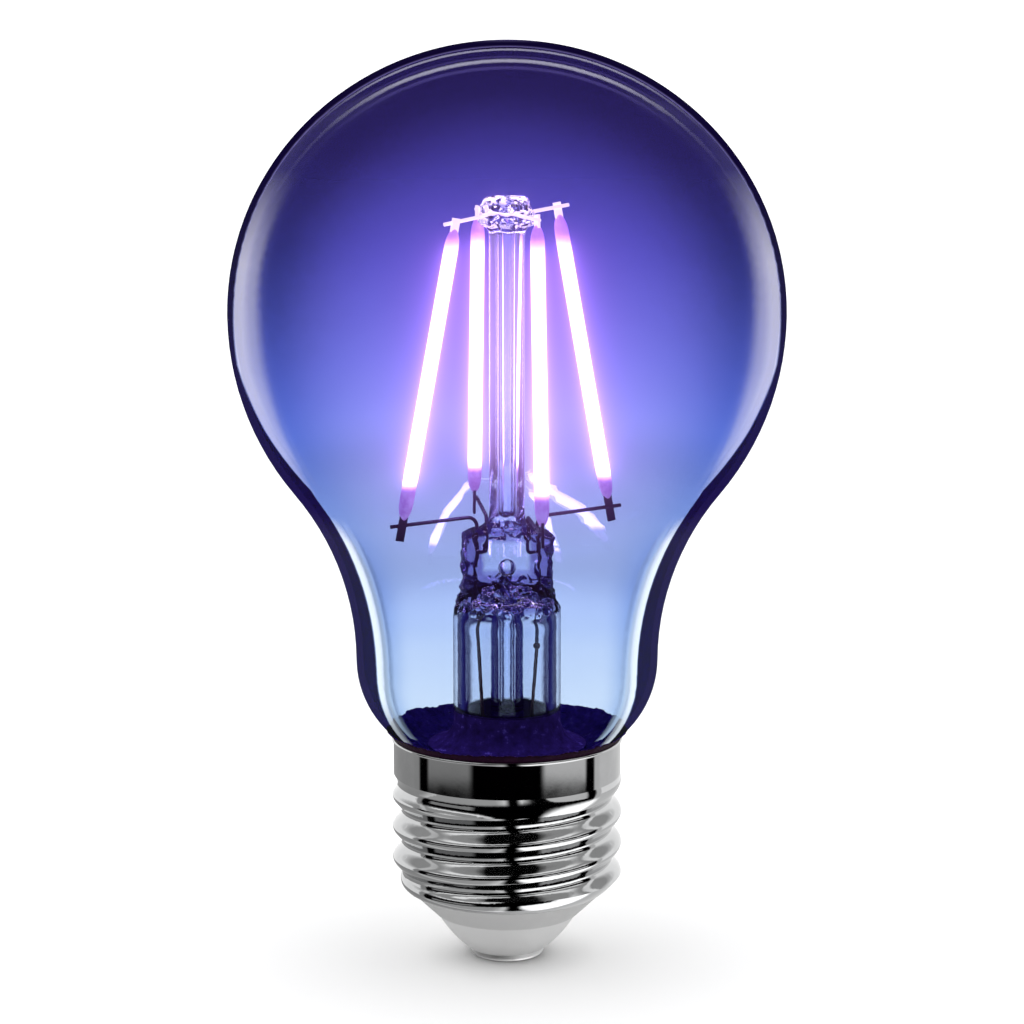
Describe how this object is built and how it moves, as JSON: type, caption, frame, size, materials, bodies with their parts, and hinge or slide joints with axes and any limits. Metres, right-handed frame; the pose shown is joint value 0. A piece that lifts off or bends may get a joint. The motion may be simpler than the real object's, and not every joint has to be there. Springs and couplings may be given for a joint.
{
  "type": "led filament bulb",
  "caption": "Pear-shaped lamp of clear blue-tinted glass with lit upright LED filaments on a pressed glass stem, and a bright screw cap with a grey insulator.",
  "frame": {"origin": "middle of the centre contact's flat face, on the lamp's axis", "axes": "+Z along the lamp's axis from the contact to the crown, X across the flat of the stem press, -Y towards the side that the picture shows"},
  "size_m": [0.062, 0.062, 0.1038],
  "materials": {
    "tinted_glass": "clear polished, blue tint",
    "clear_glass": "clear, fire polished",
    "phosphor_coat": "lit silicone coat",
    "end_tab": "plain strip",
    "nickel_wire": "drawn wire",
    "plated_shell": "bright plated",
    "insulator_plastic": "moulded, satin",
    "contact_metal": "bright, lightly worn",
    "basing_cement": "matt, dark",
    "circuit_board": "coated laminate",
    "package_moulding": "moulded, matt",
    "capacitor_sleeve": "shrunk sleeve",
    "fuse_coat": "dipped coat",
    "copper_lead": "copper wire, part tinned"
  },
  "bodies": {
    "root": {"globe": "tinted_glass", "stem": "clear_glass", "exhaust_tube": "clear_glass", "arbor": "clear_glass", "cement_ring": "basing_cement", "screw_shell": "plated_shell", "insulator": "insulator_plastic", "centre_contact": "contact_metal", "driver_board": "circuit_board", "bridge_rectifier": "package_moulding", "driver_chip": "package_moulding", "smoothing_capacitor": "capacitor_sleeve", "fuse_resistor": "fuse_coat", "shell_lead": "copper_lead", "outer_lead_left": "copper_lead", "outer_lead_right": "copper_lead", "lead_wire_left": "nickel_wire", "lead_wire_right": "nickel_wire", "branch_wire_back": "nickel_wire", "branch_wire_front": "nickel_wire", "bridge_wire_front_left": "nickel_wire", "bridge_wire_back_right": "nickel_wire", "filament_left": "phosphor_coat", "lower_tab_left": "end_tab", "upper_tab_left": "end_tab", "filament_front": "phosphor_coat", "lower_tab_front": "end_tab", "upper_tab_front": "end_tab", "filament_right": "phosphor_coat", "lower_tab_right": "end_tab", "upper_tab_right": "end_tab", "filament_back": "phosphor_coat", "lower_tab_back": "end_tab", "upper_tab_back": "end_tab"}
  },
  "joints": []
}
